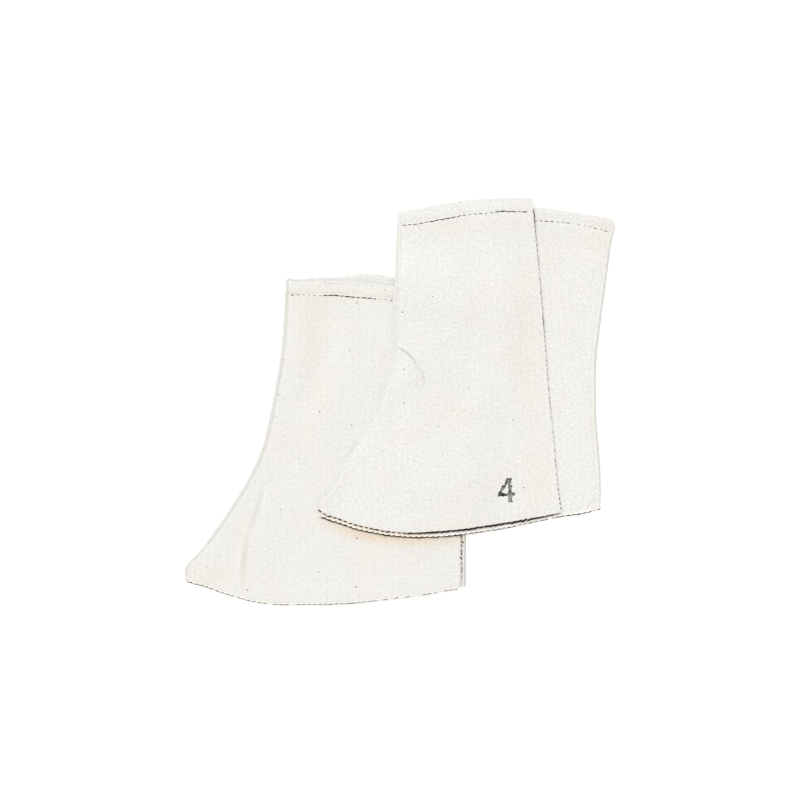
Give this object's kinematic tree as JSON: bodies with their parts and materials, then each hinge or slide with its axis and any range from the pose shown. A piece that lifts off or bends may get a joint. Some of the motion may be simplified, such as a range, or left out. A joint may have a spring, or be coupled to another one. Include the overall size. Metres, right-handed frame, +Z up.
{
  "type": "pair of foot covers",
  "caption": "Canvas foot covers laid flat and overlapping: flared tubes from calf to shoe with a turned top hem, a straight side flap and a lower edge that runs out to a point over the toe.",
  "frame": {"origin": "middle of the pair's footprint, on the surface that it lies on", "axes": "+X from the lower cover's toe across to the upper cover's back seam, +Y towards the covers' top hems, +Z up from the surface"},
  "size_m": [0.4314, 0.4072, 0.0133],
  "materials": {
    "outer_canvas": "matt unbleached cotton canvas",
    "inner_canvas": "matt unbleached cotton canvas",
    "sewing_thread": "matt dark brown sewing thread"
  },
  "bodies": {
    "root": {"lower_outer_front": "outer_canvas", "lower_outer_back": "outer_canvas", "lower_inner_half": "inner_canvas", "upper_inner_half": "inner_canvas", "upper_outer_back": "outer_canvas", "upper_outer_front": "outer_canvas"}
  },
  "joints": []
}
